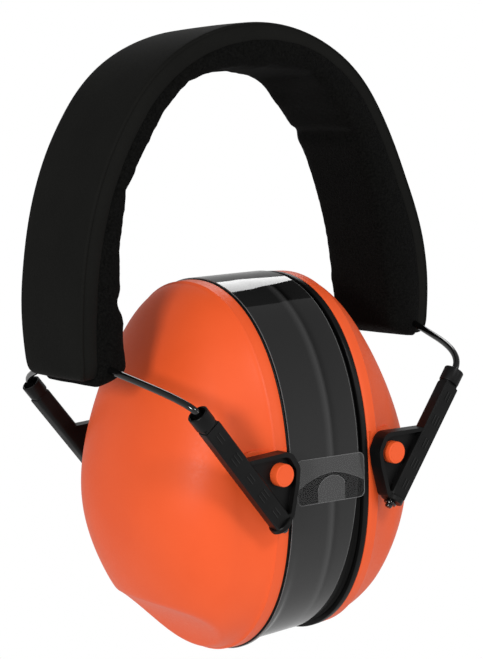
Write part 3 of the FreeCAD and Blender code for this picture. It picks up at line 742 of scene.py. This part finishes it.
def even_angles(half_y, half_z, py, pz, count=240):
    """Angles that space a ring's points evenly along its length."""
    fine = np.linspace(0, 2 * math.pi, 2881)
    ring = oval_ring(0, half_y, half_z, 0, py, pz, fine)
    run = np.concatenate([[0], np.cumsum(np.linalg.norm(np.diff(ring, axis=0), axis=1))])
    return np.interp(np.linspace(0, run[-1], count, endpoint=False), run, fine)


def dome_state(t):
    """Shares of the width and height left at t of the way to the pole, and how far the middle has sunk."""
    return (1 - t ** 2.47) ** (1 / 2.33), (1 - t ** 1.32) ** (1 / 1.70), 8.1 * t ** 0.68


def shell_at(t):
    across, upright, sink = dome_state(t)
    return np.array([33.5 * across, 50.4 * upright, sink])


def cup_points():
    """Outer skin rings from the rim to the pole, with the angles round each ring."""
    angles = even_angles(37.5, 52.5, 2.1, 2.37)
    rows = [(RIM, 36.2, 51.2, 2.1, 2.37, 0), (RIM, 37.2, 52.2, 2.1, 2.37, 0),
            (RIM + 0.12, 37.42, 52.42, 2.1, 2.37, 0), (RIM + 0.35, 37.5, 52.5, 2.1, 2.37, 0),
            (16.2, 37.4, 52.4, 2.1, 2.37, 0), (18.0, 37.3, 52.3, 2.1, 2.37, 0),
            (18.2, 37.0, 52.0, 2.1, 2.37, 0), (18.5, 36.75, 51.72, 2.1, 2.37, 0)]
    ease = 0.25                                    # the dome law takes over here
    ahead, behind = shell_at(ease + 0.001), shell_at(ease - 0.001)
    x0, x1 = 18.5, 22.8 + 22.8 * ease
    p0, m0 = np.array([36.75, 51.72, 0.0]), np.array([-0.44, -0.33, 0.0])
    p1, m1 = shell_at(ease), (ahead - behind) / (0.002 * 22.8)
    for t in np.linspace(0.06, 0.97, 14):
        hy, hz, sink = ((2 * t ** 3 - 3 * t * t + 1) * p0 + (t ** 3 - 2 * t * t + t) * (x1 - x0) * m0
                        + (3 * t * t - 2 * t ** 3) * p1 + (t ** 3 - t * t) * (x1 - x0) * m1)
        blend = smooth(0, 0.8, ease * t)
        rows.append((x0 + (x1 - x0) * t, hy, hz, 2.1 - 0.1 * blend, 2.36 - 0.36 * blend, sink))
    for t in np.concatenate([np.linspace(ease, 0.9, 36), 1 - 0.1 * np.cos(np.linspace(0.2, 1.5, 14))]):
        hy, hz, sink = shell_at(t)
        blend = smooth(0, 0.8, t)
        rows.append((22.8 + 22.8 * t, hy, hz, 2.1 - 0.1 * blend, 2.36 - 0.36 * blend, sink))
    outer = [oval_ring(-x, hy, hz, RIM_Z - sink, py, pz, angles) for x, hy, hz, py, pz, sink in rows]
    return outer, angles


def press_scoop(points, inner=0.0):
    """Push points out of the scooped hollow at the foot of the cup, with a soft crest."""
    p = points.copy()
    ax, az, r = -46.8, PIVOT[1] - 64.1, 27.2 + inner
    d = np.hypot(p[:, 0] - ax, p[:, 2] - az)
    k = 0.55
    target = r + k * np.log1p(np.exp(np.clip((d - r) / k, -30, 30)))
    target = np.where(d > r + 6, d, target)
    grow = target / d
    p[:, 0] = ax + (p[:, 0] - ax) * grow
    p[:, 2] = az + (p[:, 2] - az) * grow
    return p


outer_rings, cup_angles = cup_points()
flat = press_scoop(np.concatenate(outer_rings))
outer_rings = flat.reshape(len(outer_rings), -1, 3)
inner_rings = []
for x, hy, hz, lift in ((-RIM, 35.0, 48.6, 0.0), (-18.5, 34.6, 47.4, 1.0), (-22.8, 31.6, 43.0, 4.0)):
    inner_rings.append(oval_ring(x, hy, hz, RIM_Z + lift, 2.1, 2.3, cup_angles))
for t in (0.08, 0.18, 0.3, 0.42, 0.54, 0.66, 0.78, 0.88, 0.95, 0.99):
    across, upright, sink = dome_state(t)
    inner_rings.append(oval_ring(-(22.8 + 20.3 * t), 31.0 * across, 42.6 * upright,
                                 RIM_Z + 4.0 - sink, 2.05, 2.1, cup_angles))
inner_rings = press_scoop(np.concatenate(inner_rings), 2.2).reshape(len(inner_rings), -1, 3)
# one closed shell: inner pole, inner skin, rim face, outer skin, outer pole
cup_rings = np.concatenate([inner_rings[::-1], outer_rings])
cup_pts, cup_faces = skin(cup_rings, caps=True)


def pivot_pad():
    """Flat boss moulded round the pin: its face follows the cup's rim and leans back outwards."""
    corners = [(-26.6, -113), (-14.6, -113), (-14.6, -101.1), (-25.4, -101.1), (-26.6, -102.8)]
    outline = rounded_outline(corners, [2, 0.2, 0.2, 2.6, 1.0], 6)
    pts, faces = prism(outline, 31.0, 37.52, SIDE_VIEW)
    pts = np.array(pts)
    front = pts[:, 1] < -34
    pts[front, 1] += 0.34 * np.clip(-16.4 - pts[front, 0], 0, None)
    return pts, faces


for side, fx in SIDES:
    body = f"{side}_cup"
    cup = mesh_piece(f"{side}_cup_body", cup_pts, cup_faces, ORANGE, "orange_plastic", (fx, 1), body,
                     crease=38)
    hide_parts(f"{side}_cup_shell")
    for end, fy in ENDS:
        boss = mesh_piece(f"{side}_{end}_pivot_pad", *pivot_pad(), ORANGE, "orange_plastic", (fx, fy), body,
                          crease=30)
        soften(boss, 0.25, 40, 2)
        profile = [(0.0, 33.0), (5.0, 33.0), (5.0, 37.95), (3.05, 37.95), (3.05, 42.75), (2.98, 42.95),
                   (2.8, 43.08), (2.45, 43.1), (2.38, 43.02), (1.2, 43.04), (0.0, 43.05)]
        pin = lathe(profile, (PIVOT[0], 0, PIVOT[1]), (0, -1, 0), 64, closed=False)
        mesh_piece(f"{side}_{end}_pin", *pin, ORANGE, "orange_plastic", (fx, fy), body, crease=30)

# ------------------------------------------------------------------ seal plates
def closed_ring(profile, centre_z=RIM_Z, count=200):
    """A ring whose section rows are (x, half_y, half_z, exponent y, exponent z)."""
    angles = even_angles(37.5, 52.5, 2.1, 2.37, count)
    rings = [oval_ring(x, hy, hz, centre_z, py, pz, angles) for x, hy, hz, py, pz in profile]
    return rings


P, Q = 2.1, 2.37
plate_profile = [(-14.3, 37.3, 52.3, P, Q), (-14.1, 37.55, 52.55, P, Q), (-12.7, 37.58, 52.58, P, Q),
                 (-12.45, 37.4, 52.4, P, Q), (-12.42, 30.0, 44.0, P, 2.2), (-12.42, 24.4, 38.4, 2, 2),
                 (-12.7, 24.05, 38.05, 2, 2), (-14.0, 24.05, 38.05, 2, 2), (-14.28, 24.4, 38.4, 2, 2),
                 (-14.3, 30.0, 44.0, P, 2.2)]
for side, fx in SIDES:
    pts, faces = skin(closed_ring(plate_profile), closed_along=True)
    plate_piece = mesh_piece(f"{side}_seal_ring", pts, faces, BLACK, "black_plastic", (fx, 1),
                             f"{side}_cup", crease=40)
    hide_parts(f"{side}_seal_plate")

# ------------------------------------------------------------------ ear cushions
def tuck(points):
    """Below the middle the soft parts draw in a little from the plates' outline."""
    low = (points[..., 2] < RIM_Z) * smooth(12.7, 11.0, np.abs(points[..., 0]))
    points[..., 2] += 0.026 * low * (RIM_Z - points[..., 2])
    return points


def cushion_profile():
    """Section of the cushion, from the plate round the outside to the face, the hole and back."""
    rows = []
    for x, hy in ((-12.35, 35.6), (-12.1, 36.5), (-11.6, 36.9), (-11.2, 36.75), (-10.9, 36.62), (-10.4, 36.8),
                  (-8.6, 37.12), (-6.6, 37.24), (-4.8, 37.22), (-3.2, 37.0), (-1.9, 36.4), (-0.95, 35.3),
                  (-0.42, 33.9), (-0.22, 32.2), (-0.2, 30.0)):
        rows.append((x, hy, hy + 15.0, 2.1, 2.37))
    hole = ((-0.2, 27.2, 42.0), (-0.25, 24.0, 38.0), (-0.5, 21.6, 34.6), (-1.2, 19.8, 32.2),
            (-2.4, 18.7, 30.9), (-4.2, 18.15, 30.2), (-7.0, 18.1, 30.1), (-10.0, 18.4, 30.5),
            (-12.0, 19.4, 31.6), (-12.35, 21.0, 33.4))
    for k, (x, hy, hz) in enumerate(hole):
        rows.append((x, hy, hz, 2.08 - 0.008 * k, 2.2 - 0.02 * k))
    return rows


def cushion_mesh(seed):
    rings = np.array(closed_ring(cushion_profile(), count=240))
    n, m = rings.shape[:2]
    around = np.linspace(0, 2 * math.pi, m, endpoint=False)
    fold = np.zeros(m)
    r = np.random.default_rng(seed)
    for _ in range(26):                                    # small gathers round the hole and the outer turn
        c, w, a = r.uniform(0, 2 * math.pi), r.uniform(0.015, 0.035), r.uniform(0.2, 1.0)
        d = (around - c + math.pi) % (2 * math.pi) - math.pi
        fold += a * np.exp(-(d / w) ** 2)
    for i in range(n):
        spoke = rings[i][:, 1:] - [0, RIM_Z]
        inner = smooth(2, 0, abs(i - 18)) + 0.6 * smooth(3, 0, abs(i - 22))
        outer = 0.35 * smooth(3, 0, abs(i - 11))
        if 0 < i < n - 1:
            push = (0.28 * inner - 0.16 * outer) * fold / np.linalg.norm(spoke, axis=1)
            rings[i][:, 1:] += spoke * push[:, None]
    return skin(tuck(rings), closed_along=True)


for n, (side, fx) in enumerate(SIDES):
    pts, faces = cushion_mesh(11 + n)
    cushion = mesh_piece(f"{side}_ear_cushion", pts, faces, VINYL, "vinyl", (fx, 1), f"{side}_cup")
    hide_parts(f"{side}_cushion_cover", f"{side}_cushion_foam")
    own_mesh(cushion)

# ------------------------------------------------------------------ damping foam in the cups
def damper_mesh():
    rows = []
    for x, g in ((-27.6, -2.2), (-27.5, -1.2), (-28.0, -0.3), (-29.2, 0.0), (-33.2, 0.0),
                 (-34.2, -0.5), (-34.5, -2.0)):
        rows.append((x, 20 + g, 23 + g))
    angles = np.linspace(0, 2 * math.pi, 96, endpoint=False)
    centre = RIM_Z - 3.3
    rings = [oval_ring(-34.4, 18 * s, 21 * s, centre, 2, 2, angles) for s in (0.05, 0.5, 0.9)]
    rings += [oval_ring(x, hy, hz, centre, 2, 2, angles) for x, hy, hz in reversed(rows)]
    rings += [oval_ring(-27.55, 18 * s, 21 * s, centre, 2, 2, angles) for s in np.linspace(0.95, 0.04, 22)]
    rings = np.array(rings)
    face = rings[10:]
    lumps = np.sin(face[..., 1] * 0.95) * np.sin(face[..., 2] * 0.95)
    face[..., 0] -= 0.9 - 0.9 * lumps - 0.2 * ripple(9, 7.0)(face.reshape(-1, 3)).reshape(face.shape[:2])
    return skin(rings, caps=True)


for side, fx in SIDES:
    damper = mesh_piece(f"{side}_damping_pad", *damper_mesh(), FOAM, "foam", (fx, 1), f"{side}_cup")
    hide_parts(f"{side}_damping_foam")

# ------------------------------------------------------------------ clear display film and its tab
FILM_LEFT, FILM_GROW, FILM_THICK, LIP = -13.75, 0.52, 0.22, 0.13


def film_mesh():
    """A thin oval sleeve round both cushions; the right edge draws in towards the foot."""
    angles = even_angles(37.5, 52.5, 2.1, 2.37, 300)
    slack = ripple(21, 34.0, 6)
    shells = []
    for lift in (0.0, FILM_THICK):
        base = oval_ring(0, 37.2 + FILM_GROW + lift, 52.2 + FILM_GROW + lift, RIM_Z, 2.1, 2.37, angles)
        edge = 10.3 - 0.0875 * np.clip(RIM_Z + 4 - base[:, 2], 0, None)
        rings = []
        for t in [0.0, LIP / 24] + list(np.linspace(0.05, 0.95, 22)) + [1 - LIP / 24, 1.0]:
            ring = base.copy()
            ring[:, 0] = FILM_LEFT + (edge - FILM_LEFT) * t
            out = ring[:, 1:] - [0, RIM_Z]
            out /= np.linalg.norm(out, axis=1)[:, None]
            ring[:, 1:] += out * np.clip(0.10 * slack(ring), -0.02, 0.12)[:, None]
            rings.append(tuck(ring))
        shells.append(np.array(rings))
    return skin(np.concatenate([shells[0], shells[1][::-1]]), closed_along=True)


def film_piece(name, geometry, materials):
    piece = mesh_piece(name, *geometry, materials, "clear_film", (1, 1), "left_cup", crease=40)
    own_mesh(piece)
    return piece


film_geo = film_mesh()
film = film_piece("display_film", film_geo, [FILM, EDGE_HIGHLIGHT])
rows_in_skin = len(film_geo[1]) // 300
# the lip rows at both film edges take the painted edge highlight
for n, face in enumerate(film.data.polygons):
    if n // 300 in (rows_in_skin // 2 - 1, rows_in_skin // 2, rows_in_skin - 2, rows_in_skin - 1):
        face.material_index = 1
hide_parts("display_band")

# the film's overlapped end: a label with an arched slit, at the front of the cups
TAB_LEFT, TAB_RIGHT = -11.9, 12.1
SLIT_TOP, PATCH_TOP = -110.0, -110.95


def tab_surface(x, z, lift):
    away = abs(z - RIM_Z) / (52.2 + FILM_GROW)
    return (x, -(37.2 + FILM_GROW + FILM_THICK + lift) * (1 - away ** 2.37) ** (1 / 2.1), z)


def corner_drop(x, radius=1.7):
    near = max(0.0, radius - min(x - TAB_LEFT, TAB_RIGHT - x))
    return radius - math.sqrt(max(0.0, radius * radius - near * near))


def tab_top(x):
    return -105.3 - (x - TAB_LEFT) / 24 - corner_drop(x)


def tab_foot(x):
    return -117.6 - 1.1 * (x - TAB_LEFT) / 24 + corner_drop(x)


def slit_height(x):
    """The label's slit: an arch that falls away further on the right."""
    reach = abs(x) / 12.2
    return SLIT_TOP - (3.6 * reach ** 2 if x < 0 else 4.1 * reach ** 1.6)


def patch_height(x):
    """The patch below the slit: half an ellipse."""
    reach = (x - 0.2) / 5.15
    return PATCH_TOP - 4.2 * (1 - math.sqrt(1 - reach * reach))


def tab_patch(xs, low, high, lift, rows=6):
    """A thin curved sheet between two heights at each x."""
    shells = []
    for out in (lift, lift + 0.06):
        shells.append([[tab_surface(x, low(x) + (high(x) - low(x)) * k / rows, out) for x in xs]
                       for k in range(rows + 1)])
    n, m = rows + 1, len(xs)
    pts = [p for shell in shells for row in shell for p in row]
    faces = []
    for base in (0, n * m):
        faces += [(base + i * m + j, base + i * m + j + 1, base + (i + 1) * m + j + 1, base + (i + 1) * m + j)
                  for i in range(n - 1) for j in range(m - 1)]
    rim = [(0, j) for j in range(m)] + [(i, m - 1) for i in range(1, n)]
    rim += [(n - 1, j) for j in range(m - 2, -1, -1)] + [(i, 0) for i in range(n - 2, 0, -1)]
    for (a, b), (c, d) in zip(rim, rim[1:] + rim[:1]):
        faces.append((a * m + b, c * m + d, n * m + c * m + d, n * m + a * m + b))
    return pts, faces


tab_xs = [TAB_LEFT + 24 * (0.5 - 0.5 * math.cos(math.pi * k / 40)) for k in range(41)]
tab = film_piece("display_film_tab", tab_patch(tab_xs, slit_height, tab_top, 0.05), TAB)
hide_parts("display_band_tab")
film_piece("display_film_tab_foot", tab_patch(tab_xs, tab_foot, slit_height, 0.05), FOOT)
patch_xs = list(np.linspace(-4.9, 4.9, 19))
film_piece("display_film_slit", tab_patch(patch_xs, tab_foot, patch_height, 0.14), TAB)
ring = [np.array(tab_surface(x, tab_top(x), 0.12)) for x in tab_xs]
ring += [np.array(tab_surface(x, tab_foot(x), 0.12)) for x in reversed(tab_xs)]
ring.append(ring[0])
lines = [ring, [np.array(tab_surface(x, slit_height(x), 0.14)) for x in tab_xs],
         [np.array(tab_surface(x, patch_height(x), 0.22)) for x in patch_xs]]
# thin lines round the tab and along its slit, coloured with the painted edge highlight
edges = [tube(line, radius, 6) for line, radius in zip(lines, (0.10, 0.05, 0.07))]
film_piece("display_film_tab_edge", join_parts(*edges), EDGE_HIGHLIGHT)

# ------------------------------------------------------------------ carried-over CAD nodes
for name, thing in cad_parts.items():
    if not thing.hide_render:
        if not thing.material_slots:
            thing.data.materials.append(None)
        for place in thing.material_slots:
            place.link = "OBJECT"
            place.material = BLACK

# ------------------------------------------------------------------ light and camera
world = bpy.data.worlds.new("studio")
scene.world = world
world.use_nodes = True
sky = world.node_tree
sky.nodes["Background"].inputs["Color"].default_value = (1.0, 1.0, 1.0, 1)
ray = node(sky, "ShaderNodeLightPath")
split = node(sky, "ShaderNodeSeparateXYZ")
sky.links.new(node(sky, "ShaderNodeTexCoord").outputs["Generated"], split.inputs[0])
room = ramp(sky, split.outputs["Z"], -0.8, 0.8, 0.86, 0.30)        # a light table below, a dimmer room above
level = node(sky, "ShaderNodeMapRange")
level.inputs["To Max"].default_value = 1.0                         # the backdrop itself is white
sky.links.new(ray.outputs["Is Camera Ray"], level.inputs["Value"])
sky.links.new(room, level.inputs["To Min"])
sky.links.new(level.outputs["Result"], sky.nodes["Background"].inputs["Strength"])


def softbox(name, place, aim, size, power):
    lamp = bpy.data.lights.new(name, "AREA")
    lamp.shape, lamp.energy = "RECTANGLE", power
    lamp.size, lamp.size_y = size
    o = bpy.data.objects.new(name, lamp)
    o.location = place
    o.rotation_euler = (Vector(aim) - Vector(place)).to_track_quat("-Z", "Y").to_euler()
    scene.collection.objects.link(o)


softbox("key", (-0.88, -0.46, 0.13), (0, 0, -0.10), (0.20, 0.20), 5.1)
softbox("high", (-0.08, -0.78, 0.42), (0, 0, -0.10), (0.16, 0.16), 2.5)
softbox("front", (0.40, -0.96, 0.10), (0, 0, -0.10), (0.35, 0.5), 1.6)
softbox("behind", (0.62, 0.52, 0.55), (0, 0, -0.09), (0.42, 0.38), 2.2)

target = Vector((0.00095, 0.0, -0.074))
az, el, roll = math.radians(-37.94), math.radians(6.91), math.radians(-2.23)
back = Vector((math.sin(az) * math.cos(el), -math.cos(az) * math.cos(el), math.sin(el)))
right = Vector((0, 0, 1)).cross(back).normalized()
up = back.cross(right)
r2 = right * math.cos(roll) + up * math.sin(roll)
u2 = up * math.cos(roll) - right * math.sin(roll)
lens = bpy.data.cameras.new("camera")
lens.sensor_fit, lens.sensor_width, lens.lens = "HORIZONTAL", 36.0, 123.05
lens.clip_start = 0.01
camera = bpy.data.objects.new("camera", lens)
camera.matrix_world = Matrix.Translation(target + back * 0.4725) @ Matrix(
    ((r2.x, u2.x, back.x), (r2.y, u2.y, back.y), (r2.z, u2.z, back.z))).to_4x4()
scene.collection.objects.link(camera)
scene.camera = camera
scene.view_settings.view_transform = "Standard"
scene.view_settings.look = "None"
